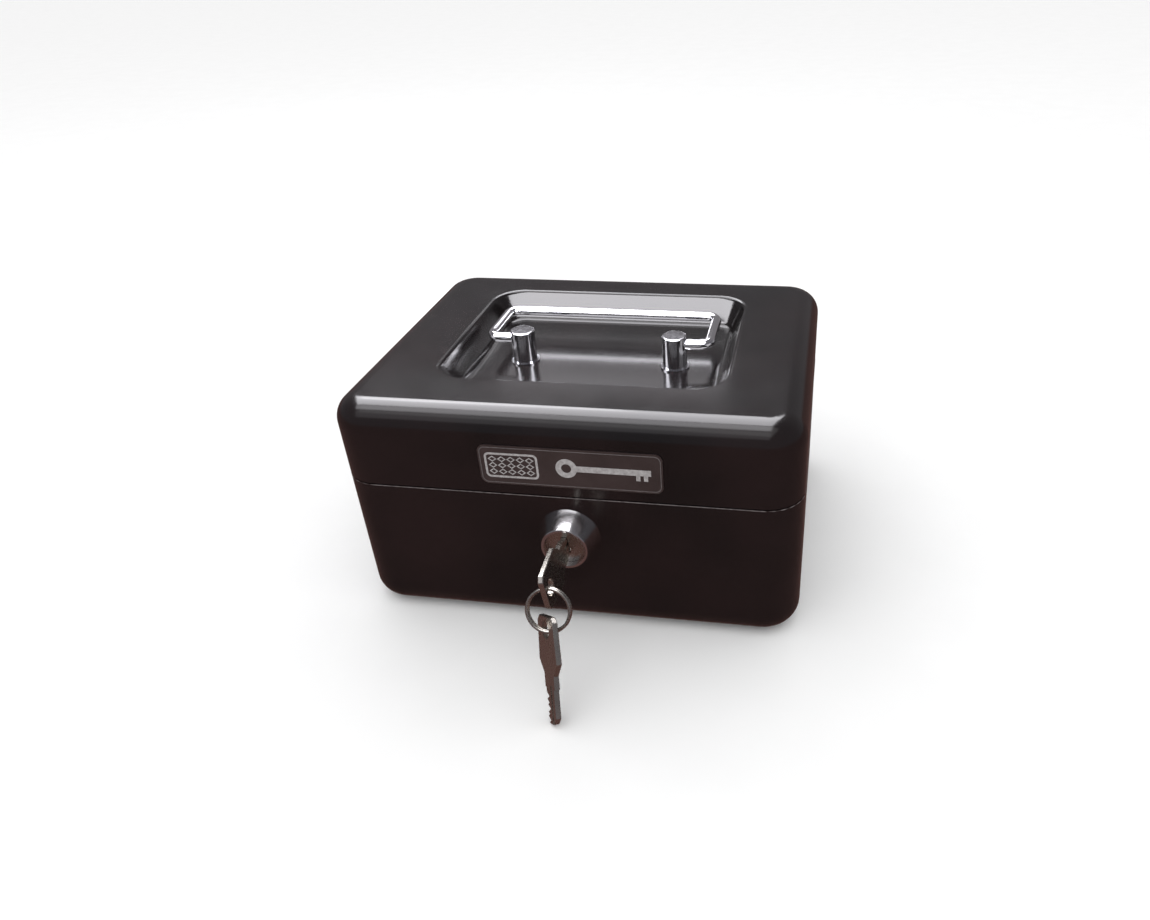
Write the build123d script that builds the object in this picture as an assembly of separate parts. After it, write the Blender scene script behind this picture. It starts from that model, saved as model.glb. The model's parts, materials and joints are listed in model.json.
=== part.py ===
"""Small steel cash box: rounded base and lid on two rear hinges, a cam lock with two keys on a
ring, a folding wire handle in a sunken lid panel, and a moulded coin tray that lifts out.

Frame: millimetres, origin at the centre of the base's underside, +Z up, front (lock side) at -Y,
+X to the right seen from the front.
"""
from build123d import *
from math import cos, radians, sin, sqrt
import os

# ---- Box ----
box_width = 152.0
box_depth = 120.0
box_height = 80.0
seam_height = 52.0          # top of the base's shoulder
seam_gap = 0.4              # open line between base and lid
sheet = 1.0                 # steel sheet of both shells
corner_radius = 12.5        # upright corners, seen from above
lid_edge_radius = 8.5
base_edge_radius = 8.5
neck_height = 6.0           # stepped-in rim of the base that the lid slips over
neck_clearance = 0.4

# ---- Sunken panel in the lid ----
recess_width = 98.0
recess_depth_y = 76.0       # front to back
recess_centre_y = 2.5
recess_drop = 10.0
recess_wall_run = 5.0       # how far the sloped wall travels inwards on its way down
recess_corner_radius = 11.0
recess_lip_radius = 1.6     # over the edge, on the visible side
recess_floor_radius = 3.0   # in the bottom corner, on the visible side

# ---- Carrying handle ----
post_spacing = 55.0
post_y = -1.0
post_radius = 4.3
post_height = 12.0
post_edge_radius = 0.5
post_flange_width = 0.8     # foot flange beyond the post
post_flange_thickness = 0.6
bail_radius = 1.8           # wire
bail_axle_height = 8.8      # above the sunken panel
bail_axle_depth = 6.0       # wire end inside its post
bail_half_width = 39.7
bail_reach = 24.5           # axle to grip bar
bail_bend_radius = 4.0
running_clearance = 0.06    # radial, of every turning fit
post_screw_radius = 2.0
post_screw_head_radius = 3.6
post_screw_head_height = 2.4
post_screw_engagement = 6.0
post_washer_radius = 4.8
post_washer_thickness = 0.8
screw_clearance = 0.2       # radial, screws and rivets through sheet

# ---- Label plate ----
label_width = 58.5
label_height = 14.0
label_thickness = 0.5
label_corner_radius = 2.5
label_x = 4.0
label_rise = 11.0           # plate centre above the seam

# ---- Hinges ----
hinge_spacing = 90.0
hinge_length = 26.0
hinge_leaf_height = 14.0
hinge_leaf_thickness = 1.0
hinge_pin_radius = 1.1
hinge_knuckle_radius = 2.0
hinge_middle_length = 9.2   # knuckle of the lid leaf
hinge_side_gap = 0.3
hinge_wall_clearance = 0.2  # knuckle to the box's rear face
hinge_relief = 0.5          # leaf edge to the other leaf's knuckle
pin_head_radius = 1.7
pin_head_thickness = 0.7
rivet_radius = 1.4
rivet_head_radius = 2.4
rivet_head_height = 0.8
rivet_spacing = 16.0
rivet_offset = 10.0         # rivets above or below the hinge axis

# ---- Lock ----
lock_x = 1.5
lock_height = 37.0
bezel_radius = 10.3
bezel_front_radius = 7.5
bezel_length = 7.5
lock_mouth_depth = 2.4      # plug face behind the bezel's rim
key_turn = 8.0              # rest angle of plug and key, top to the left seen from the front
barrel_radius = 8.0
barrel_length = 16.0        # behind the front of the wall
barrel_hole_clearance = 0.1
plug_radius = 6.0
plug_head_radius = 6.6
plug_head_thickness = 0.8
plug_boss = 7.0             # square end that carries the cam
nut_across_flats = 22.0
nut_thickness = 4.0
lock_washer_radius = 11.0
lock_washer_thickness = 0.8
cam_thickness = 1.6
cam_hub_radius = 7.0
cam_width = 7.0
cam_reach = 18.5            # lock axis to cam tip
cam_gap = 0.3               # cam to barrel end
cam_washer_radius = 5.4
cam_washer_thickness = 0.8
cam_screw_radius = 2.0
cam_screw_head_radius = 3.9
cam_screw_head_height = 2.4
cam_screw_length = 6.5
wafer_count = 4
wafer_pitch = 1.8
wafer_first = 0.9           # first wafer behind the plug's head
wafer_thickness = 0.7
wafer_width = 5.6
wafer_height = 10.0
wafer_lug_length = 1.2      # side lug that a spring pushes on
wafer_lug_width = 1.2
wafer_lug_height = 1.6      # lug's centre above the wafer's
spring_bottom = -3.0        # below the plug's axis
spring_radius = 0.36
wafer_clearance = 0.05

# ---- Keys ----
key_thickness = 1.7
key_bevel = 0.25            # around both faces of the bow
bow_length = 18.0
bow_width = 14.6            # at the shoulders, next to the neck
bow_end_width = 12.6
bow_shoulder = 4.0          # length of the slope from the neck to the full width
bow_corner = 1.6            # cut corners at the end
key_neck_length = 4.0
key_neck_width = 7.6
blade_length = 11.0
blade_width = 6.0
blade_tip_top = 2.2         # corner cuts of the tip
blade_tip_bottom = 0.9
groove_width = 1.0          # milled along one face of the blade
groove_depth = 0.35
groove_rise = 0.8           # above the blade's middle
keyhole_radius = 2.75       # hole for the ring
keyhole_inset = 4.2         # its centre from the bow's end
key_stand_out = 30.0        # bow end in front of the wall
tooth_depths = (1.5, 2.2, 1.1, 1.8)    # one cut for each wafer
tooth_half_width = 0.6      # share of the cut's depth
spare_tooth_gap = 2.0       # first idle cut, before the first wafer's
keyway_clearance = 0.15

# ---- Ring and spare key ----
ring_radius = 6.68          # to the middle of the wire
ring_wire = 1.15
ring_width = 2.2            # two turns side by side
ring_tilt = 25.0            # bottom of the ring forward
ring_drop_in_hole = (0.7, -1.0, 0.3)   # ring wire from the centre of the key's hole
spare_wire_offset = 0.7     # ring wire past the hole's centre, towards the blade
spare_turn = -38.0          # spare key about its own length
spare_sideways = 3.8        # tip to the right of its hole
spare_floor_gap = 1.3       # blade's end above the ground plane

# ---- Lid catch ----
catch_width = 10.0
catch_thickness = 1.2
catch_left = -18.0
catch_flange_height = 9.0
catch_neck_gap = 1.0        # web above the neck
catch_leg_setback = 12.0    # leg behind the inner face of the lid's front
catch_cam_gap = 0.6         # foot below the locked cam
catch_foot_length = 7.7

# ---- Coin tray ----
tray_clearance = 1.2
tray_floor_height = 34.0
tray_height = 26.0
tray_wall = 1.8
tray_floor = 1.6
tray_divider_y = 2.0
tray_notch_left = -20.5     # notch for the lock and the catch
tray_notch_right = 16.0
tray_notch_depth = 20.0     # behind the tray's front
tray_scoop_radius = 7.0
tray_corner_radius = 2.5    # pocket corners, seen from above
ledge_width = 8.0
ledge_height = 9.0
ledge_length = 75.0
ledge_centre_y = 7.5

# ---- Worked out from the sizes above ----
front = -box_depth / 2
rear = box_depth / 2
lid_bottom = seam_height + seam_gap
neck_top = seam_height + neck_height
neck_inset = sheet + neck_clearance
mouth_inset = neck_inset + sheet
panel_height = box_height - recess_drop
bail_axis_height = panel_height + bail_axle_height
hinge_axis_y = rear + hinge_wall_clearance + hinge_knuckle_radius
hinge_axis_z = seam_height + seam_gap / 2
plug_face = bezel_length - lock_mouth_depth
plug_seat = plug_face - plug_head_thickness
cam_front = -barrel_length - cam_gap
cam_back = cam_front - cam_thickness
tray_top = tray_floor_height + tray_height
tray_width = box_width - 2 * (mouth_inset + tray_clearance)
tray_depth = box_depth - 2 * (mouth_inset + tray_clearance)
tray_notch_back = -tray_depth / 2 + tray_notch_depth
key_length = bow_length + key_neck_length + blade_length
wafer_positions = [plug_seat - wafer_first - i * wafer_pitch for i in range(wafer_count)]
lug_x = (wafer_width + wafer_lug_length) / 2
spring_top = wafer_lug_height - wafer_lug_width / 2

# Axes of the lock: local x is +X, local y is +Z, and local z points out of the box's front.
lock_frame = Plane(origin=(lock_x, front, lock_height), x_dir=(1, 0, 0), z_dir=(0, -1, 0))
turned_x = (cos(radians(key_turn)), 0, sin(radians(key_turn)))
turned_frame = Plane(origin=lock_frame.origin, x_dir=turned_x, z_dir=(0, -1, 0))


# ---- Helpers ----
def rounded_block(inset, radius, bottom, top):
    """Upright block with the box's outline moved inwards by inset."""
    outline = RectangleRounded(box_width - 2 * inset, box_depth - 2 * inset, radius)
    return Pos(0, 0, bottom) * extrude(outline, top - bottom)


def cuboid(low, high):
    """Block between two opposite corners."""
    size = [b - a for a, b in zip(low, high)]
    return Pos(*low) * Box(*size, align=(Align.MIN, Align.MIN, Align.MIN))


def rod(start, end, radius):
    """Round bar between two points."""
    path = Vector(*end) - Vector(*start)
    return extrude(Plane(origin=start, z_dir=path) * Circle(radius), path.length)


def lock_disc(radius, low, high):
    """Disc about the lock's axis, between two distances out from the wall's front."""
    return lock_frame * Pos(0, 0, low) * extrude(Circle(radius), high - low)


def mirrored_pair():
    """Signs of the left and right copies, with their names."""
    return (("left", -1), ("right", 1))


def rivet_places(x_centre, z):
    """Centres of the two rivets of one hinge leaf."""
    return [(x_centre + s * rivet_spacing / 2, z) for s in (-1, 1)]


# ---- Base ----
def base_shell():
    """Drawn tub with a flat bottom, a shoulder at the seam and a stepped-in neck."""
    tub = rounded_block(0, corner_radius, 0, seam_height)
    tub = fillet(tub.edges().group_by(Axis.Z)[0], base_edge_radius)
    cavity = rounded_block(sheet, corner_radius - sheet, sheet, seam_height - sheet)
    cavity = fillet(cavity.edges().group_by(Axis.Z)[0], base_edge_radius - sheet)
    neck = rounded_block(neck_inset, corner_radius - neck_inset, seam_height - sheet, neck_top)
    mouth = rounded_block(mouth_inset, corner_radius - mouth_inset, seam_height - 2 * sheet, neck_top)
    shell = tub - cavity + neck - mouth
    shell -= lock_disc(barrel_radius + barrel_hole_clearance, -2 * sheet, sheet)
    for _, side in mirrored_pair():
        for x, z in rivet_places(side * hinge_spacing / 2, hinge_axis_z - rivet_offset):
            shell -= rod((x, rear - 2 * sheet, z), (x, rear + sheet, z), rivet_radius)
    return shell


def tray_ledge(side):
    """Angle strip spot-welded inside one end wall, which the coin tray rests on."""
    wall = box_width / 2 - sheet
    low_y = ledge_centre_y - ledge_length / 2
    high_y = ledge_centre_y + ledge_length / 2
    flange = cuboid((wall - sheet, low_y, tray_floor_height - ledge_height), (wall, high_y, tray_floor_height))
    shelf = cuboid((wall - ledge_width, low_y, tray_floor_height - sheet), (wall, high_y, tray_floor_height))
    ledge = flange + shelf
    return ledge if side > 0 else mirror(ledge, about=Plane.YZ)


# ---- Hinges ----
def hinge_leaf(x_centre, direction, own_spans, other_spans):
    """Leaf on the rear wall: direction +1 goes up on the lid, -1 goes down on the base."""
    half = hinge_length / 2
    outline = RectangleRounded(hinge_length, 2 * hinge_leaf_height, 2.5)
    plate = Pos(x_centre, rear, hinge_axis_z) * Rot(90, 0, 0) * extrude(outline, -hinge_leaf_thickness)
    keep = (0, hinge_leaf_height) if direction > 0 else (-hinge_leaf_height, -seam_gap)
    low = (x_centre - half, rear, hinge_axis_z + keep[0])
    high = (x_centre + half, rear + hinge_leaf_thickness, hinge_axis_z + keep[1])
    plate = plate & cuboid(low, high)
    reach = hinge_knuckle_radius + hinge_relief
    for a, b in other_spans:
        plate -= cuboid((x_centre + a - hinge_side_gap, rear - 1, hinge_axis_z - reach),
                        (x_centre + b + hinge_side_gap, rear + 5, hinge_axis_z + reach))
    for a, b in own_spans:
        plate += rod((x_centre + a, hinge_axis_y, hinge_axis_z),
                     (x_centre + b, hinge_axis_y, hinge_axis_z), hinge_knuckle_radius)
        plate += cuboid((x_centre + a, rear, hinge_axis_z + min(0, direction * reach)),
                        (x_centre + b, rear + hinge_leaf_thickness, hinge_axis_z + max(0, direction * reach))
                        ) & cuboid(low, high)
    plate -= rod((x_centre - half - 1, hinge_axis_y, hinge_axis_z),
                 (x_centre + half + 1, hinge_axis_y, hinge_axis_z), hinge_pin_radius + running_clearance)
    for x, z in rivet_places(x_centre, hinge_axis_z + direction * rivet_offset):
        plate -= rod((x, rear - 1, z), (x, rear + 5, z), rivet_radius)
    return plate


def knuckle_spans():
    """Stretches of the hinge line that the base leaf and the lid leaf hold."""
    half, middle = hinge_length / 2, hinge_middle_length / 2
    outer = middle + hinge_side_gap
    return [(-half, -outer), (outer, half)], [(-middle, middle)]


def hinge_pin(x_centre):
    """Headed pin through the knuckles of one hinge."""
    half = hinge_length / 2
    ends = [(x_centre + s * (half + hinge_side_gap / 2), hinge_axis_y, hinge_axis_z) for s in (-1, 1)]
    pin = rod(ends[0], ends[1], hinge_pin_radius)
    for s, (x, y, z) in zip((-1, 1), ends):
        head = rod((x, y, z), (x + s * pin_head_thickness, y, z), pin_head_radius)
        pin += head
    return pin


def hinge_rivets(direction, inner_face):
    """All the rivets of one side's leaves, with a head on the leaf and one inside the wall."""
    rivets = []
    outer_face = rear + hinge_leaf_thickness
    for _, side in mirrored_pair():
        for x, z in rivet_places(side * hinge_spacing / 2, hinge_axis_z + direction * rivet_offset):
            shank = rod((x, inner_face, z), (x, outer_face, z), rivet_radius)
            outer = rod((x, outer_face, z), (x, outer_face + rivet_head_height, z), rivet_head_radius)
            outer = fillet(outer.edges().group_by(Axis.Y)[-1], rivet_head_height * 0.8)
            inner = rod((x, inner_face - rivet_head_height, z), (x, inner_face, z), rivet_head_radius)
            rivets.append(shank + outer + inner)
    return Compound(children=rivets)


# ---- Lid ----
def recess_block(grow, bottom, top_z):
    """Tapered block of the sunken panel, moved outwards by grow, cut off at top_z."""
    drop = top_z - bottom
    slope = recess_wall_run / recess_drop
    spread = grow * sqrt(1 + slope * slope) - grow * slope
    half_run = slope * drop
    width, depth = recess_width + 2 * spread, recess_depth_y + 2 * spread
    radius = recess_corner_radius + spread
    upper = Pos(0, recess_centre_y, top_z) * RectangleRounded(width, depth, radius)
    lower = Pos(0, recess_centre_y, bottom) * RectangleRounded(
        width - 2 * half_run, depth - 2 * half_run, radius - half_run)
    return loft([lower, upper])


def edges_inside(shape, z, margin):
    """Edges at height z that lie well inside the lid's outline."""
    limit_x, limit_y = box_width / 2 - margin, box_depth / 2 - margin
    level = shape.edges().filter_by_position(Axis.Z, z - 0.01, z + 0.01)
    return [e for e in level if abs(e.center().X) < limit_x and abs(e.center().Y) < limit_y]


def dished_block(inset, bottom, top, grow, lip, floor_radius):
    """Block with a rounded top edge and the sunken panel pressed into its top."""
    block = rounded_block(inset, corner_radius - inset, bottom, top)
    block = fillet(block.edges().group_by(Axis.Z)[-1], lid_edge_radius - inset)
    block -= recess_block(grow, top - recess_drop, top)
    block = fillet(edges_inside(block, top - recess_drop, lid_edge_radius + 5), floor_radius)
    return fillet(edges_inside(block, top, lid_edge_radius + 3), lip)


def lid_shell():
    """Drawn lid with the sunken panel, one sheet thick everywhere."""
    outside = dished_block(0, lid_bottom, box_height, 0, recess_lip_radius, recess_floor_radius)
    inside = dished_block(sheet, lid_bottom - 1, box_height - sheet, sheet,
                          recess_lip_radius - sheet, recess_floor_radius + sheet)
    shell = outside - inside
    for _, side in mirrored_pair():
        x = side * post_spacing / 2
        hole = post_screw_radius + screw_clearance
        shell -= rod((x, post_y, panel_height - 2 * sheet), (x, post_y, panel_height + 1), hole)
        for x, z in rivet_places(side * hinge_spacing / 2, hinge_axis_z + rivet_offset):
            shell -= rod((x, rear - 2 * sheet, z), (x, rear + sheet, z), rivet_radius)
    return shell


def lid_catch():
    """Bent strap welded inside the lid's front: web back over the neck, leg down, foot to the rear."""
    wall = front + sheet
    web_z = neck_top + catch_neck_gap
    leg_y = wall + catch_leg_setback
    foot_top = lock_height - cam_width / 2 - catch_cam_gap
    foot_back = leg_y + catch_foot_length
    t = catch_thickness
    left, right = catch_left, catch_left + catch_width
    strap = cuboid((left, wall, web_z), (right, wall + t, web_z + catch_flange_height))
    strap += cuboid((left, wall, web_z), (right, leg_y, web_z + t))
    strap += cuboid((left, leg_y - t, foot_top - t), (right, leg_y, web_z + t))
    strap += cuboid((left, leg_y - t, foot_top - t), (right, foot_back, foot_top))
    bends = [e for e in strap.edges().filter_by(Axis.X)
             if abs(e.center().Y - leg_y + t / 2) < t and abs(e.center().Z - web_z - t) < 0.01
             or abs(e.center().Y - leg_y + t) < 0.01 and abs(e.center().Z - foot_top + t) < 0.01]
    return fillet(bends, t * 0.8)


def label_plate():
    """Thin plate stuck on the lid's front, left blank."""
    outline = RectangleRounded(label_width, label_height, label_corner_radius)
    place = Plane(origin=(label_x, front, seam_height + label_rise), x_dir=(1, 0, 0), z_dir=(0, -1, 0))
    return place * extrude(outline, label_thickness)


# ---- Carrying handle ----
def handle_post(side):
    """Turned post with a foot flange, a blind cross hole for the bail and a screw hole below."""
    x = side * post_spacing / 2
    top = panel_height + post_height
    post = rod((x, post_y, panel_height), (x, post_y, top), post_radius)
    post = fillet(post.edges().group_by(Axis.Z)[-1], post_edge_radius)
    post += rod((x, post_y, panel_height), (x, post_y, panel_height + post_flange_thickness),
                post_radius + post_flange_width)
    outer = x + side * (post_radius + 1)
    inner = x + side * (post_radius - bail_axle_depth - running_clearance)
    post -= rod((inner, post_y, bail_axis_height), (outer, post_y, bail_axis_height),
                bail_radius + running_clearance)
    return post - rod((x, post_y, panel_height), (x, post_y, panel_height + post_screw_engagement),
                      post_screw_radius)


def post_washers():
    """Washers under the sunken panel, one below each post."""
    top = panel_height - sheet
    bottom = top - post_washer_thickness
    washers = []
    for _, side in mirrored_pair():
        x = side * post_spacing / 2
        disc = rod((x, post_y, bottom), (x, post_y, top), post_washer_radius)
        washers.append(disc - rod((x, post_y, bottom), (x, post_y, top), post_screw_radius + screw_clearance))
    return Compound(children=washers)


def post_screws():
    """Pan-head screws that hold the posts from below, with cross recesses."""
    seat = panel_height - sheet - post_washer_thickness
    screws = []
    for _, side in mirrored_pair():
        x = side * post_spacing / 2
        shank = rod((x, post_y, seat), (x, post_y, panel_height + post_screw_engagement - 0.3), post_screw_radius)
        head = rod((x, post_y, seat - post_screw_head_height), (x, post_y, seat), post_screw_head_radius)
        head = fillet(head.edges().group_by(Axis.Z)[0], 1.2)
        screw = shank + head
        for arm in ((2.0, 0.5), (0.5, 2.0)):
            low = (x - arm[0], post_y - arm[1], seat - post_screw_head_height - 0.1)
            screw -= cuboid(low, (x + arm[0], post_y + arm[1], seat - post_screw_head_height + 1.3))
        screws.append(screw)
    return Compound(children=screws)


def handle_bail():
    """Wire handle: both ends enter the posts from outside, the grip bar lies towards the rear."""
    end_x = post_spacing / 2 + post_radius - bail_axle_depth
    z = bail_axis_height
    grip_y = post_y + bail_reach
    corners = [(-end_x, post_y, z), (-bail_half_width, post_y, z), (-bail_half_width, grip_y, z),
               (bail_half_width, grip_y, z), (bail_half_width, post_y, z), (end_x, post_y, z)]
    path = FilletPolyline(*corners, radius=bail_bend_radius)
    section = Plane(origin=corners[0], z_dir=(-1, 0, 0)) * Circle(bail_radius)
    return sweep(section, path=path)


# ---- Lock ----
def lock_housing():
    """Conical bezel in front of the wall and a round barrel behind it, bored for the plug."""
    bezel = lock_frame * Pos(0, 0, bezel_length / 2) * Cone(bezel_radius, bezel_front_radius, bezel_length)
    bezel = fillet(bezel.edges().group_by(Axis.Y)[0], 0.6)
    housing = bezel + lock_disc(barrel_radius, -barrel_length, 0)
    housing -= lock_disc(plug_head_radius + running_clearance, plug_seat - running_clearance, bezel_length)
    return housing - lock_disc(plug_radius + running_clearance, -barrel_length, bezel_length)


def lock_washer():
    """Flat washer between the wall and the nut."""
    disc = lock_disc(lock_washer_radius, -sheet - lock_washer_thickness, -sheet)
    return disc - lock_disc(barrel_radius + barrel_hole_clearance, -barrel_length, 0)


def lock_nut():
    """Thin hexagon nut on the barrel."""
    back = -sheet - lock_washer_thickness - nut_thickness
    hexagon = RegularPolygon(nut_across_flats / 2, 6, major_radius=False)
    nut = lock_frame * Pos(0, 0, back) * extrude(hexagon, nut_thickness)
    return nut - lock_disc(barrel_radius, -barrel_length, 0)


def wafer_outline(grow):
    """Wafer plate with its spring lug on the right."""
    body = Rectangle(wafer_width + 2 * grow, wafer_height + 2 * grow)
    lug = Rectangle(wafer_lug_length + 2 * grow, wafer_lug_width + 2 * grow)
    return body + Pos(lug_x, wafer_lug_height) * lug


def lock_plug():
    """Rotating plug: head, keyway, wafer slots and a square boss for the cam."""
    plug = lock_disc(plug_radius, -barrel_length, plug_seat) + lock_disc(plug_head_radius, plug_seat, plug_face)
    boss = Pos(0, 0, cam_back) * extrude(Rectangle(plug_boss, plug_boss), -barrel_length - cam_back)
    plug += turned_frame * boss
    tip = key_stand_out - key_length
    keyway = Rectangle(key_thickness + 2 * keyway_clearance, blade_width + 2 * keyway_clearance)
    bottom = tip - 3 * keyway_clearance
    plug -= turned_frame * Pos(0, 0, bottom) * extrude(keyway, plug_face - bottom)
    spring_well = Rectangle(wafer_lug_length + 2 * wafer_clearance, spring_top - spring_bottom)
    slot = wafer_outline(wafer_clearance) + Pos(lug_x, (spring_bottom + spring_top) / 2) * spring_well
    slot += Rectangle(wafer_width + 2 * wafer_clearance, 2 * plug_radius + 1)
    thickness = wafer_thickness + 2 * wafer_clearance
    for z in wafer_positions:
        plug -= turned_frame * Pos(0, 0, z - thickness / 2) * extrude(slot, thickness)
    return plug - lock_disc(cam_screw_radius, cam_back - 1, cam_back + cam_screw_length)


def wafer_tumblers():
    """Spring-loaded plates across the plug, each with a window for the key's blade."""
    window = Rectangle(key_thickness + 4 * keyway_clearance, blade_width + 2 * keyway_clearance)
    outline = wafer_outline(0) - window
    wafers = [turned_frame * Pos(0, 0, z - wafer_thickness / 2) * extrude(outline, wafer_thickness)
              for z in wafer_positions]
    return Compound(children=wafers)


def wafer_springs():
    """Small spring column under each wafer's lug."""
    springs = []
    for z in wafer_positions:
        start = turned_frame.from_local_coords(Vector(lug_x, spring_bottom, z))
        end = turned_frame.from_local_coords(Vector(lug_x, spring_top, z))
        springs.append(rod(tuple(start), tuple(end), spring_radius))
    return Compound(children=springs)


def lock_cam():
    """Flat cam on the plug's boss: it points up unlocked and to the left over the catch when locked."""
    arm_length = cam_reach - cam_width / 2
    arm = Pos(0, arm_length / 2) * Rectangle(cam_width, arm_length) + Pos(0, arm_length) * Circle(cam_width / 2)
    outline = Circle(cam_hub_radius) + arm - Rectangle(plug_boss + 0.1, plug_boss + 0.1)
    return turned_frame * Pos(0, 0, cam_back) * extrude(outline, cam_thickness)


def cam_washer():
    """Washer between the cam and its screw."""
    disc = lock_disc(cam_washer_radius, cam_back - cam_washer_thickness, cam_back)
    return disc - lock_disc(cam_screw_radius + screw_clearance, cam_back - 2, cam_back)


def cam_screw():
    """Pan-head screw in the rear of the plug."""
    seat = cam_back - cam_washer_thickness
    head = lock_disc(cam_screw_head_radius, seat - cam_screw_head_height, seat)
    head = fillet(head.edges().group_by(Axis.Y)[-1], 1.2)
    screw = head + lock_disc(cam_screw_radius, seat, cam_back + cam_screw_length - 0.3)
    for arm in ((4.0, 1.0), (1.0, 4.0)):
        cross = Pos(0, 0, seat - cam_screw_head_height - 0.1) * extrude(Rectangle(*arm), 1.3)
        screw -= lock_frame * cross
    return screw


# ---- Keys and ring ----
def key_bow():
    """Grip of a key in the XY plane: end at the origin, widest at its shoulders, bevelled all round."""
    half_end, half_bow, half_neck = bow_end_width / 2, bow_width / 2, key_neck_width / 2
    upper = [(0, half_end - bow_corner), (bow_corner, half_end), (bow_length - bow_shoulder, half_bow),
             (bow_length, half_neck)]
    lower = [(x, -y) for x, y in reversed(upper)]
    outline = fillet(make_face(Polyline(*upper, *lower, close=True)).vertices(), bow_corner / 2)
    bow = Pos(0, 0, -key_thickness / 2) * extrude(outline, key_thickness)
    flat_faces = bow.faces().filter_by(Axis.Z)
    return chamfer(flat_faces.edges(), key_bevel)


def tooth_places():
    """Distances of the blade's cuts from the bow's end, with one idle cut before the wafers' own."""
    places = [key_stand_out - z for z in wafer_positions]
    return [(places[0] - spare_tooth_gap, tooth_depths[-1]), *zip(places, tooth_depths)]


def key_blade():
    """Neck and toothed blade of a key, teeth towards -Y."""
    start = bow_length - bow_corner
    neck_end = bow_length + key_neck_length
    neck = Pos((start + neck_end) / 2, 0) * Rectangle(neck_end - start, key_neck_width)
    half = blade_width / 2
    profile = [(neck_end - 1, half), (key_length - blade_tip_top, half), (key_length, half - blade_tip_top),
               (key_length, blade_tip_bottom - half), (key_length - blade_tip_bottom, -half),
               (neck_end - 1, -half)]
    outline = neck + make_face(Polyline(*profile, close=True))
    for x, depth in tooth_places():
        spread = depth * tooth_half_width
        notch = [(x - spread, -half), (x, depth - half), (x + spread, -half)]
        outline -= make_face(Polyline(*notch, close=True))
    blade = Pos(0, 0, -key_thickness / 2) * extrude(outline, key_thickness)
    low = (neck_end - 1, groove_rise - groove_width / 2, key_thickness / 2 - groove_depth)
    return blade - cuboid(low, (key_length + 1, groove_rise + groove_width / 2, key_thickness))


def flat_key():
    """Key lying in the XY plane, bow end at the origin, tip along +X, teeth towards -Y."""
    hole = Pos(keyhole_inset, 0, -key_thickness) * extrude(Circle(keyhole_radius), 2 * key_thickness)
    return key_bow() + key_blade() - hole


def lock_key():
    """Key pushed home in the lock, turned with the plug."""
    end = turned_frame.from_local_coords(Vector(0, 0, key_stand_out))
    return Plane(origin=end, x_dir=(0, 1, 0), z_dir=turned_frame.x_dir) * flat_key()


def ring_top():
    """Middle of the ring's wire where it passes through the lock key's hole."""
    hole = Vector(lock_x, front - key_stand_out + keyhole_inset, lock_height)
    return hole + Vector(*ring_drop_in_hole)


def ring_bottom():
    """Middle of the ring's wire at its lowest point."""
    down = Vector(0, -sin(radians(ring_tilt)), -cos(radians(ring_tilt)))
    return ring_top() + down * (2 * ring_radius)


def key_ring():
    """Two touching turns of wire, as one closed ring."""
    centre = (ring_top() + ring_bottom()) * 0.5
    up = (ring_top() - centre).normalized()
    across = Plane(origin=centre, x_dir=up, z_dir=(1, 0, 0))
    section = across * Pos(ring_radius, 0) * RectangleRounded(ring_wire, ring_width, 0.4)
    normal = up.cross(Vector(1, 0, 0))
    return revolve(section, Axis(centre, normal), 360)


def spare_key():
    """Second key, its hole on the bottom of the ring and its tip just clear of the ground."""
    start = ring_bottom()
    reach = key_length - keyhole_inset - spare_wire_offset
    drop = start.Z - spare_floor_gap
    forward = sqrt(reach * reach - drop * drop - spare_sideways * spare_sideways)
    along = Vector(spare_sideways, -forward, -drop).normalized()
    normal = Vector(-1, 0, 0).rotate(Axis((0, 0, 0), along), spare_turn)
    normal = (normal - along * normal.dot(along)).normalized()
    origin = start - along * (keyhole_inset + spare_wire_offset)
    return Plane(origin=origin, x_dir=along, z_dir=normal) * flat_key()


# ---- Coin tray ----
def tray_pocket(low, high):
    """One open compartment with rounded upright corners and a scooped bottom."""
    width, depth = high[0] - low[0], high[1] - low[1]
    bottom = tray_floor_height + tray_floor
    outline = RectangleRounded(width, depth, tray_corner_radius)
    centre = Pos((low[0] + high[0]) / 2, (low[1] + high[1]) / 2, bottom)
    pocket = centre * extrude(outline, tray_top - bottom + 1)
    rims = pocket.edges().group_by(Axis.Z)[0]
    return fillet(rims, min(tray_scoop_radius, tray_corner_radius - 0.1))


def tray_pockets():
    """Low and high corners of each compartment, seen from above."""
    left, right = -tray_width / 2 + tray_wall, tray_width / 2 - tray_wall
    near, far = -tray_depth / 2 + tray_wall, tray_depth / 2 - tray_wall
    back_of_front = tray_divider_y - tray_wall / 2
    front_of_back = tray_divider_y + tray_wall / 2
    third = (right - left - 2 * tray_wall) / 3
    pockets = []
    for i in range(3):
        x = left + i * (third + tray_wall)
        pockets.append(((x, front_of_back), (x + third, far)))
    pockets.append(((left, near), (tray_notch_left - tray_wall, back_of_front)))
    pockets.append(((tray_notch_right + tray_wall, near), (right, back_of_front)))
    pockets.append(((tray_notch_left, tray_notch_back + tray_wall), (tray_notch_right, back_of_front)))
    return pockets


def coin_tray():
    """Moulded tray with six compartments and a notch that clears the lock."""
    outline = RectangleRounded(tray_width, tray_depth, corner_radius - mouth_inset - tray_clearance)
    tray = Pos(0, 0, tray_floor_height) * extrude(outline, tray_height)
    tray -= cuboid((tray_notch_left, -tray_depth / 2 - 1, tray_floor_height - 1),
                   (tray_notch_right, tray_notch_back, tray_top + 1))
    for low, high in tray_pockets():
        tray -= tray_pocket(low, high)
    return tray


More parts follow.
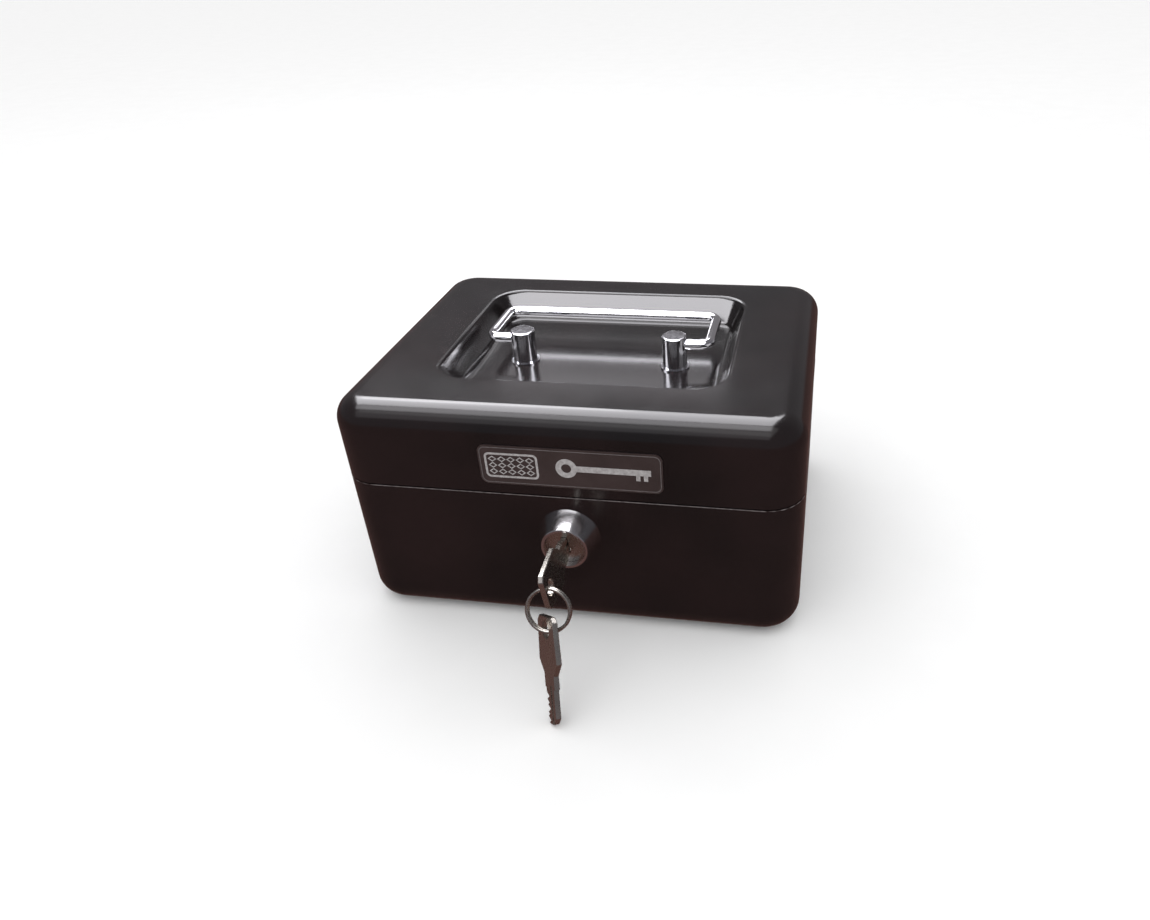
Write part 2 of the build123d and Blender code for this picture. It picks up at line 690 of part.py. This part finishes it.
def build_nodes():
    """Every piece of the cash box by name."""
    nodes = {
        "base_shell": base_shell(),
        "lock_housing": lock_housing(),
        "lock_washer": lock_washer(),
        "lock_nut": lock_nut(),
        "base_hinge_rivets": hinge_rivets(-1, rear - sheet),
        "lid_shell": lid_shell(),
        "lid_catch": lid_catch(),
        "label_plate": label_plate(),
        "lid_hinge_rivets": hinge_rivets(1, rear - sheet),
        "post_washers": post_washers(),
        "post_screws": post_screws(),
        "handle_bail": handle_bail(),
        "lock_plug": lock_plug(),
        "wafer_tumblers": wafer_tumblers(),
        "wafer_springs": wafer_springs(),
        "lock_cam": lock_cam(),
        "cam_washer": cam_washer(),
        "cam_screw": cam_screw(),
        "lock_key": lock_key(),
        "key_ring": key_ring(),
        "spare_key": spare_key(),
        "coin_tray": coin_tray(),
    }
    base_spans, lid_spans = knuckle_spans()
    for name, side in mirrored_pair():
        x = side * hinge_spacing / 2
        nodes[f"tray_ledge_{name}"] = tray_ledge(side)
        nodes[f"base_hinge_leaf_{name}"] = hinge_leaf(x, -1, base_spans, lid_spans)
        nodes[f"lid_hinge_leaf_{name}"] = hinge_leaf(x, 1, lid_spans, base_spans)
        nodes[f"hinge_pin_{name}"] = hinge_pin(x)
        nodes[f"handle_post_{name}"] = handle_post(side)
    return nodes


os.makedirs("parts", exist_ok=True)
for node_name, shape in build_nodes().items():
    export_step(shape, f"parts/{node_name}.step")
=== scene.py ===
"""Studio scene of a small black cash box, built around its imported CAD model."""
import bpy
import json
from math import cos, pi, radians, sin
from mathutils import Matrix, Vector


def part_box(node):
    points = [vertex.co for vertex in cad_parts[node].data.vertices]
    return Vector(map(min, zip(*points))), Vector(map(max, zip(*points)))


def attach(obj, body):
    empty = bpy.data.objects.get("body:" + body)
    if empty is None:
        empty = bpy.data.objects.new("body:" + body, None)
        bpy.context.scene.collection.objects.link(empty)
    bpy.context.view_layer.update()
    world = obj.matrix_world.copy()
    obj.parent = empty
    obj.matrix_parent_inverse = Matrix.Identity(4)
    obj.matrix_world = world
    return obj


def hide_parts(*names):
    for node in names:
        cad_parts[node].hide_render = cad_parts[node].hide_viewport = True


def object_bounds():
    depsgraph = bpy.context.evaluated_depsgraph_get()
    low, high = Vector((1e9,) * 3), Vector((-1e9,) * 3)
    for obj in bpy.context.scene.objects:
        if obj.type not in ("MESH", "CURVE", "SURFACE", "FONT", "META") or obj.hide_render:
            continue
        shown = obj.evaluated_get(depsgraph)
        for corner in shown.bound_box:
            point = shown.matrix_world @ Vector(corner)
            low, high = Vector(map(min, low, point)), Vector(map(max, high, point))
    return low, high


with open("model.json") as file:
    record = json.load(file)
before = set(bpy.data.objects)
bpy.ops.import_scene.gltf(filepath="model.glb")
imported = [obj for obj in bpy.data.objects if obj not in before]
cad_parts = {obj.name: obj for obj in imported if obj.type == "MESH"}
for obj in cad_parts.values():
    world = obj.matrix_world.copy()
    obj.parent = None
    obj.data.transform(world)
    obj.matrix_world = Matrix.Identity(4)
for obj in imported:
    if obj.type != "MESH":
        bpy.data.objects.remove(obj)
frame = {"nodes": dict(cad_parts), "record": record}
cad_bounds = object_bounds()
scene = bpy.context.scene
MM = 0.001
MIDDLE = Vector(sum(corner[axis] for corner in cad_bounds) / 2 for axis in range(3))


# ---------------------------------------------------------------- node helpers
def new_material(name):
    """Empty node material with its output; returns material, nodes, links and the Principled shader."""
    material = bpy.data.materials.new(name)
    material.use_nodes = True
    nodes, links = material.node_tree.nodes, material.node_tree.links
    return material, nodes, links, nodes["Principled BSDF"]


def coordinates(nodes):
    """Object coordinates in metres."""
    return nodes.new("ShaderNodeTexCoord").outputs["Object"]


def noise(nodes, links, vector, scale, detail=3.0, roughness=0.5):
    """Noise texture's factor output."""
    node = nodes.new("ShaderNodeTexNoise")
    node.inputs["Scale"].default_value = scale
    node.inputs["Detail"].default_value = detail
    node.inputs["Roughness"].default_value = roughness
    links.new(vector, node.inputs["Vector"])
    return node.outputs["Fac"]


def ramp(nodes, links, factor, stops):
    """Colour ramp through (position, colour) stops."""
    node = nodes.new("ShaderNodeValToRGB")
    elements = node.color_ramp.elements
    for element, (position, colour) in zip(elements, stops):
        element.position, element.color = position, (*colour, 1)
    for position, colour in stops[2:]:
        element = elements.new(position)
        element.color = (*colour, 1)
    links.new(factor, node.inputs["Fac"])
    return node.outputs["Color"]


def value_range(nodes, links, factor, low, high, start=0.0, stop=1.0):
    """Map a factor from start..stop to low..high."""
    node = nodes.new("ShaderNodeMapRange")
    for name, value in (("From Min", start), ("From Max", stop), ("To Min", low), ("To Max", high)):
        node.inputs[name].default_value = value
    links.new(factor, node.inputs["Value"])
    return node.outputs["Result"]


def bump(nodes, links, height, strength, distance):
    """Bump normal from a height factor."""
    node = nodes.new("ShaderNodeBump")
    node.inputs["Strength"].default_value = strength
    node.inputs["Distance"].default_value = distance
    links.new(height, node.inputs["Height"])
    return node.outputs["Normal"]


# ---------------------------------------------------------------- materials
def specks(nodes, links, vector, scale, radius, share):
    """Sparse round dots, 1 inside a dot: cells of a Voronoi grid of which a share holds a dot."""
    cells = nodes.new("ShaderNodeTexVoronoi")
    cells.inputs["Scale"].default_value = scale
    links.new(vector, cells.inputs["Vector"])
    dot = value_range(nodes, links, cells.outputs["Distance"], 1.0, 0.0, radius * 0.5, radius)
    chosen = nodes.new("ShaderNodeMath")
    chosen.operation = "LESS_THAN"
    chosen.inputs[1].default_value = share
    links.new(cells.outputs["Color"], chosen.inputs[0])
    both = nodes.new("ShaderNodeMath")
    both.operation = "MULTIPLY"
    links.new(dot, both.inputs[0])
    links.new(chosen.outputs[0], both.inputs[1])
    return both.outputs[0]


def blend_colour(nodes, links, factor, first, second):
    """Mix a colour output towards a fixed colour."""
    node = nodes.new("ShaderNodeMix")
    node.data_type = "RGBA"
    links.new(factor, node.inputs["Factor"])
    links.new(first, node.inputs[6])
    node.inputs[7].default_value = (*second, 1)
    return node.outputs[2]


def paint_material():
    """Glossy black enamel with a faint brown cast, soft orange peel, dust and smears."""
    material, nodes, links, shader = new_material("black_enamel")
    vector = coordinates(nodes)
    cloud = noise(nodes, links, vector, 28, 2.0)
    enamel = ramp(nodes, links, cloud, [(0.35, (0.0062, 0.0050, 0.0052)), (0.70, (0.0120, 0.0074, 0.0076))])
    dust = specks(nodes, links, vector, 110, 0.035, 0.25)
    links.new(blend_colour(nodes, links, dust, enamel, (0.16, 0.15, 0.15)), shader.inputs["Base Color"])
    smear = noise(nodes, links, vector, 45, 4.0, 0.6)
    links.new(value_range(nodes, links, smear, 0.15, 0.20, 0.3, 0.75), shader.inputs["Roughness"])
    peel = noise(nodes, links, vector, 420, 1.0)
    links.new(bump(nodes, links, peel, 0.016, 0.0004), shader.inputs["Normal"])
    shader.inputs["Specular IOR Level"].default_value = 0.5
    shader.inputs["Coat Weight"].default_value = 0.15
    shader.inputs["Coat Roughness"].default_value = 0.12
    return material


def metal_material(name, colour, low, high, scratch_scale, wear):
    """Bright metal: roughness varies from low to high in fine streaks, wear is how far the colour dims."""
    material, nodes, links, shader = new_material(name)
    vector = coordinates(nodes)
    cloud = noise(nodes, links, vector, 140, 3.0)
    darker = tuple(c * (1 - wear) for c in colour)
    links.new(ramp(nodes, links, cloud, [(0.3, darker), (0.7, colour)]), shader.inputs["Base Color"])
    streak = noise(nodes, links, vector, scratch_scale, 5.0, 0.65)
    links.new(value_range(nodes, links, streak, low, high, 0.3, 0.7), shader.inputs["Roughness"])
    links.new(bump(nodes, links, streak, 0.02, 0.0002), shader.inputs["Normal"])
    shader.inputs["Metallic"].default_value = 1.0
    return material


def plastic_material():
    """Fine-grained black moulded plastic."""
    material, nodes, links, shader = new_material("tray_plastic")
    vector = coordinates(nodes)
    cloud = noise(nodes, links, vector, 60, 3.0)
    links.new(ramp(nodes, links, cloud, [(0.3, (0.018, 0.018, 0.019)), (0.7, (0.030, 0.030, 0.032))]),
              shader.inputs["Base Color"])
    grain = noise(nodes, links, vector, 2200, 2.0)
    links.new(value_range(nodes, links, grain, 0.42, 0.58), shader.inputs["Roughness"])
    links.new(bump(nodes, links, grain, 0.25, 0.0003), shader.inputs["Normal"])
    return material


def label_material():
    """Dark brown-black printed plate."""
    material, nodes, links, shader = new_material("label_dark")
    vector = coordinates(nodes)
    cloud = noise(nodes, links, vector, 90, 3.0)
    links.new(ramp(nodes, links, cloud, [(0.3, (0.034, 0.022, 0.021)), (0.7, (0.048, 0.031, 0.030))]),
              shader.inputs["Base Color"])
    grain = noise(nodes, links, vector, 1500, 3.0)
    links.new(value_range(nodes, links, grain, 0.30, 0.42), shader.inputs["Roughness"])
    links.new(bump(nodes, links, grain, 0.08, 0.0002), shader.inputs["Normal"])
    return material


def print_and_painted_highlight_material(name, dark, light):
    """Matt print, and the lighter matt tone of the seam's painted highlight: a fine mottle between two
    tones.
    """
    material, nodes, links, shader = new_material(name)
    vector = coordinates(nodes)
    mottle = noise(nodes, links, vector, 700, 4.0, 0.6)
    links.new(ramp(nodes, links, mottle, [(0.35, dark), (0.65, light)]), shader.inputs["Base Color"])
    grain = noise(nodes, links, vector, 1800, 2.0)
    links.new(value_range(nodes, links, grain, 0.35, 0.5), shader.inputs["Roughness"])
    links.new(bump(nodes, links, grain, 0.06, 0.0001), shader.inputs["Normal"])
    return material


MATERIALS = {
    "black_paint": paint_material(),
    "chrome": metal_material("chrome_plate", (0.80, 0.80, 0.82), 0.06, 0.13, 900, 0.06),
    # Chrome copy with its colour dimmed to 0.50: painted shade for the darker sides of the handle posts.
    "painted_shade_chrome": metal_material("painted_shade_chrome", (0.50, 0.50, 0.52), 0.06, 0.14, 900, 0.06),
    "soft_chrome": metal_material("soft_chrome", (0.74, 0.73, 0.74), 0.13, 0.20, 900, 0.10),
    "nickel": metal_material("nickel_plate", (0.62, 0.59, 0.54), 0.20, 0.34, 1400, 0.15),
    "zinc_steel": metal_material("zinc_steel", (0.58, 0.59, 0.60), 0.28, 0.42, 1200, 0.12),
    "spring_steel": metal_material("spring_steel", (0.52, 0.52, 0.54), 0.25, 0.35, 1200, 0.1),
    "brass": metal_material("brass", (0.72, 0.52, 0.24), 0.22, 0.35, 1200, 0.12),
    "tray_plastic": plastic_material(),
    "label": label_material(),
}


def dress_cad_nodes():
    """Give every CAD node the material of its record slot."""
    slots = {part["node"]: part["material_slot"] for part in frame["record"]["subparts"]}
    slots["lock_housing"] = "soft_chrome"
    # The handle posts take the dimmed chrome copy, whose darker colour is painted shade.
    slots.update({name: "painted_shade_chrome" for name in slots if name.startswith("handle_post")})
    for name, node in frame["nodes"].items():
        node.data.materials.clear()
        node.data.materials.append(MATERIALS[slots[name]])


# ---------------------------------------------------------------- printed plate
PRINT_THICKNESS = 0.10 * MM
FRONT_FACING = (pi / 2, 0, 0)      # local x to +X, local y to +Z, local z out of the front


def arc(centre, radius, start, stop, steps):
    """Points of an arc; angles in degrees."""
    turns = [radians(start + (stop - start) * i / steps) for i in range(steps + 1)]
    return [(centre[0] + radius * cos(t), centre[1] + radius * sin(t)) for t in turns]


def rounded_rectangle(width, height, radius):
    """Closed outline with round corners, about the origin."""
    points = []
    for sx, sy, start in ((1, 1, 0), (-1, 1, 90), (-1, -1, 180), (1, -1, 270)):
        corner = (sx * (width / 2 - radius), sy * (height / 2 - radius))
        points += arc(corner, radius, start, start + 90, 6)
    return points


def printed_shape(name, outlines, place, material):
    """Thin raised print from closed outlines in millimetres; an outline inside another is a hole."""
    curve = bpy.data.curves.new(name, "CURVE")
    curve.dimensions = "2D"
    curve.fill_mode = "BOTH"
    curve.extrude = PRINT_THICKNESS / 2
    for outline in outlines:
        spline = curve.splines.new("POLY")
        spline.points.add(len(outline) - 1)
        for point, (x, y) in zip(spline.points, outline):
            point.co = (x * MM, y * MM, 0, 1)
        spline.use_cyclic_u = True
    piece = bpy.data.objects.new(name, curve)
    scene.collection.objects.link(piece)
    piece.location = place
    piece.rotation_euler = FRONT_FACING
    curve.materials.append(material)
    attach(piece, "lid")


def key_outline(length, head_radius, shaft_half):
    """Old-fashioned key, lying along x with its head on the left."""
    opening = 18
    tooth, gap, tooth_height, tip = 1.3, 1.1, 1.9, 1.0
    right = length / 2
    head = (-right + head_radius, 0)
    points = arc(head, head_radius, opening, 360 - opening, 28)
    foot = right - 2 * tooth - gap - tip
    low = -shaft_half - tooth_height
    for i in range(2):
        x = foot + i * (tooth + gap)
        points += [(x, -shaft_half), (x, low), (x + tooth, low), (x + tooth, -shaft_half)]
    return points + [(right, -shaft_half), (right, shaft_half)]


def label_artwork():
    """Border line, a badge of diamonds and a plain key sign on the label plate; sizes in millimetres."""
    silver = print_and_painted_highlight_material("silver_print", (0.26, 0.24, 0.24), (0.40, 0.38, 0.38))
    line_tone = print_and_painted_highlight_material("line_print", (0.10, 0.085, 0.085), (0.15, 0.13, 0.13))
    low, high = (Vector(corner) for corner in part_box("label_plate"))
    centre = (low + high) / 2
    face = low.y - PRINT_THICKNESS / 2
    width, height = (high.x - low.x) / MM, (high.z - low.z) / MM
    line, inset, border_radius = 0.22, 0.55, 2.0

    def place(x, z=0.0):
        return (centre.x + x * MM, face, centre.z + z * MM)

    border = []
    for edge in (inset, inset + line):
        border.append(rounded_rectangle(width - 2 * edge, height - 2 * edge, border_radius + inset - edge))
    printed_shape("label_border", border, place(0), line_tone)

    badge_width, badge_height, frame_width, margin = 17.2, 9.0, 0.7, 1.1
    badge = [rounded_rectangle(badge_width, badge_height, 1.6),
             rounded_rectangle(badge_width - 2 * frame_width, badge_height - 2 * frame_width, 1.0)]
    columns, rows = 5, 3
    step_x, step_y = (badge_width - 2 * margin) / columns, (badge_height - 2 * margin) / rows
    for column in range(columns):
        for row in range(rows):
            x = (column - (columns - 1) / 2) * step_x
            y = (row - (rows - 1) / 2) * step_y
            for size in (0.47, 0.30):
                badge.append([(x + size * step_x, y), (x, y + size * step_y),
                              (x - size * step_x, y), (x, y - size * step_y)])
    printed_shape("label_badge", badge, place(-18.6), silver)

    length, head_radius, hole_radius, shaft_half = 30.0, 3.4, 1.6, 1.05
    head = (-length / 2 + head_radius, 0)
    key = [key_outline(length, head_radius, shaft_half), arc(head, hole_radius, 0, 345, 23)]
    printed_shape("label_key_sign", key, place(10.6, 0.3), silver)


# ---------------------------------------------------------------- seam and ring
def tube_along(name, points, radius, cyclic, material, sides=3):
    """Round bar along points."""
    curve = bpy.data.curves.new(name, "CURVE")
    curve.dimensions = "3D"
    curve.bevel_depth = radius
    curve.bevel_resolution = sides
    curve.use_fill_caps = not cyclic
    spline = curve.splines.new("POLY")
    spline.points.add(len(points) - 1)
    for point, place in zip(spline.points, points):
        point.co = (*place, 1)
    spline.use_cyclic_u = cyclic
    piece = bpy.data.objects.new(name, curve)
    scene.collection.objects.link(piece)
    curve.materials.append(material)
    return piece


def seam_bead():
    """Rounded rim of the base's shoulder, which catches light along the seam; its light grey colour is a
    painted highlight of that light line.
    """
    low, high = (Vector(corner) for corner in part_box("base_shell"))
    lid_low = Vector(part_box("lid_shell")[0])
    corner_radius, bead_radius, inset, drop = 12.5, 0.22 * MM, 0.12, 0.4 * MM
    width, depth = (high.x - low.x) / MM - 2 * inset, (high.y - low.y) / MM - 2 * inset
    height = lid_low.z - drop - bead_radius
    points = [(x * MM, y * MM, height) for x, y in rounded_rectangle(width, depth, corner_radius - inset)]
    # Light grey matt tone on the black rim: a painted highlight along the seam.
    painted_highlight_tone = print_and_painted_highlight_material("seam_painted_highlight", (0.06, 0.05, 0.05), (0.17, 0.15, 0.15))
    bead = tube_along("seam_rim", points, bead_radius, True, painted_highlight_tone)
    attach(bead, "base")


def split_ring():
    """Split ring: two turns of wire side by side that step across at the ends."""
    low, high = (Vector(corner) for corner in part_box("key_ring"))
    centre = (low + high) / 2
    wire = 0.55 * MM
    radius = (high.x - low.x) / 2 - wire
    tilt = radians(25)
    down = Vector((0, -sin(tilt), -cos(tilt)))
    normal = Vector((1, 0, 0)).cross(down)
    turns, steps, crossing, start = 2, 72, 0.12, pi / 3
    points = []
    for i in range(turns * steps + 1):
        turn = i / steps
        side = min(1.0, max(-1.0, (turn - 1.0) / crossing))
        angle = 2 * pi * turn + start
        spoke = cos(angle) * down + sin(angle) * Vector((1, 0, 0))
        points.append(centre + radius * spoke + side * wire * normal)
    ring = tube_along("split_ring", points, wire, False, MATERIALS["nickel"], 4)
    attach(ring, "ring")
    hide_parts("key_ring")


# ---------------------------------------------------------------- stage
def world_background(nodes, colour, strength):
    """Background shader of one colour."""
    node = nodes.new("ShaderNodeBackground")
    node.inputs["Color"].default_value = (*colour, 1)
    node.inputs["Strength"].default_value = strength
    return node


def studio_world():
    """White for the camera, soft white for shading, and a dim room above a dark table in reflections."""
    world = bpy.data.worlds.new("studio")
    scene.world = world
    world.use_nodes = True
    nodes, links = world.node_tree.nodes, world.node_tree.links
    nodes.remove(nodes["Background"])
    ambient = world_background(nodes, (1.0, 1.0, 1.0), 1.02)
    white = world_background(nodes, (1.0, 1.0, 1.0), 1.05)
    room = nodes.new("ShaderNodeBackground")
    direction = nodes.new("ShaderNodeTexCoord")
    split = nodes.new("ShaderNodeSeparateXYZ")
    links.new(direction.outputs["Generated"], split.inputs[0])
    behind = value_range(nodes, links, split.outputs["Y"], 0.0, 1.0, 0.15, 0.55)
    walls = ramp(nodes, links, behind, [(0.0, (0.15, 0.145, 0.16)), (1.0, (0.205, 0.195, 0.205))])
    above = value_range(nodes, links, split.outputs["Z"], 0.0, 1.0, 0.06, -0.02)
    table = (0.125, 0.068, 0.061)
    links.new(blend_colour(nodes, links, above, walls, table), room.inputs["Color"])
    path = nodes.new("ShaderNodeLightPath")
    shading = nodes.new("ShaderNodeMixShader")
    links.new(path.outputs["Is Glossy Ray"], shading.inputs["Fac"])
    links.new(ambient.outputs[0], shading.inputs[1])
    links.new(room.outputs[0], shading.inputs[2])
    seen = nodes.new("ShaderNodeMixShader")
    links.new(path.outputs["Is Camera Ray"], seen.inputs["Fac"])
    links.new(shading.outputs[0], seen.inputs[1])
    links.new(white.outputs[0], seen.inputs[2])
    links.new(seen.outputs[0], nodes["World Output"].inputs["Surface"])


def stage():
    """Pale floor under the box and the room around it."""
    scene.view_settings.view_transform = "Standard"
    bpy.ops.mesh.primitive_plane_add(size=6, location=(0, 0, 0))
    floor = bpy.context.object
    floor.name = "studio_floor"
    material, nodes, links, shader = new_material("pale_floor")
    grain = noise(nodes, links, coordinates(nodes), 40, 2.0)
    links.new(ramp(nodes, links, grain, [(0.3, (0.95, 0.95, 0.95)), (0.7, (0.97, 0.97, 0.97))]),
              shader.inputs["Base Color"])
    shader.inputs["Roughness"].default_value = 0.8
    floor.data.materials.append(material)
    floor.visible_glossy = False
    studio_world()


def area_light(name, location, target, size, radiance, colour=(1, 1, 1)):
    """Rectangular soft light of a given brightness, aimed at a point."""
    data = bpy.data.lights.new(name, "AREA")
    data.shape = "RECTANGLE"
    data.size, data.size_y = size
    data.energy = radiance * pi * size[0] * size[1]
    data.color = colour
    light = bpy.data.objects.new(name, data)
    scene.collection.objects.link(light)
    light.location = location
    light.rotation_euler = (Vector(target) - Vector(location)).to_track_quat("-Z", "Y").to_euler()
    return light


def card(*args, **options):
    """Light panel that is seen in reflections only."""
    light = area_light(*args, **options)
    light.visible_diffuse = False
    return light


def around(elevation, distance, azimuth=0.0):
    """Point at an elevation and azimuth in degrees from the box's middle; azimuth 0 is straight in front."""
    high, turn = radians(elevation), radians(azimuth)
    flat = distance * cos(high)
    return Vector((flat * sin(turn), -flat * cos(turn), MIDDLE.z + distance * sin(high)))


def lights():
    """Soft light from above for shading, and panels for the reflections in paint and chrome."""
    cool = (0.97, 0.96, 1.0)
    area_light("overhead_soft", (-0.10, -0.35, 1.20), MIDDLE, (1.2, 0.9), 0.60)
    left = Vector((-0.30, 0, 0))
    card("ceiling", around(117, 1.0) + left, MIDDLE + left, (1.05, 0.83), 7.2, colour=cool)
    card("ceiling_front", around(82, 1.0) + left, MIDDLE + left, (1.05, 0.36), 3.0, colour=cool)
    card("front_wall", around(52, 1.0) + left, MIDDLE + left, (1.05, 0.50), 0.5, colour=cool)
    card("rear_left_window", around(42, 1.0, -149), MIDDLE, (0.40, 0.18), 3.0, colour=cool)
    card("rear_strip", (-0.060, 0.240, 0.2105), (-0.060, 0, 0.2105), (0.155, 0.024), 1.8, colour=cool)
    # Over the sunken panel, facing its rear wall.
    card("panel_glow", (-0.020, -0.016, 0.118), (-0.020, 0.040, 0.075), (0.170, 0.052), 12.0, colour=cool)


# ---------------------------------------------------------------- camera
def camera():
    """Camera in front of the box's right half, looking down at it."""
    yaw, pitch, roll = -0.191, radians(32.864), -0.042
    forward = Vector((sin(yaw) * cos(pitch), cos(yaw) * cos(pitch), -sin(pitch)))
    level = Vector((cos(yaw), -sin(yaw), 0))
    upright = level.cross(forward)
    right = cos(roll) * level + sin(roll) * upright
    up = -sin(roll) * level + cos(roll) * upright
    data = bpy.data.cameras.new("camera")
    data.sensor_width = 36
    data.lens = 27.88
    data.shift_x, data.shift_y = -0.0809, 0.0102
    data.clip_start = 0.01
    view = bpy.data.objects.new("camera", data)
    scene.collection.objects.link(view)
    place = (0.07761, -0.28170, 0.21000)
    turn = Matrix((right, up, -forward)).transposed().to_4x4()
    view.matrix_world = Matrix.Translation(place) @ turn
    scene.camera = view


camera()
stage()
lights()
dress_cad_nodes()
label_artwork()
seam_bead()
split_ring()
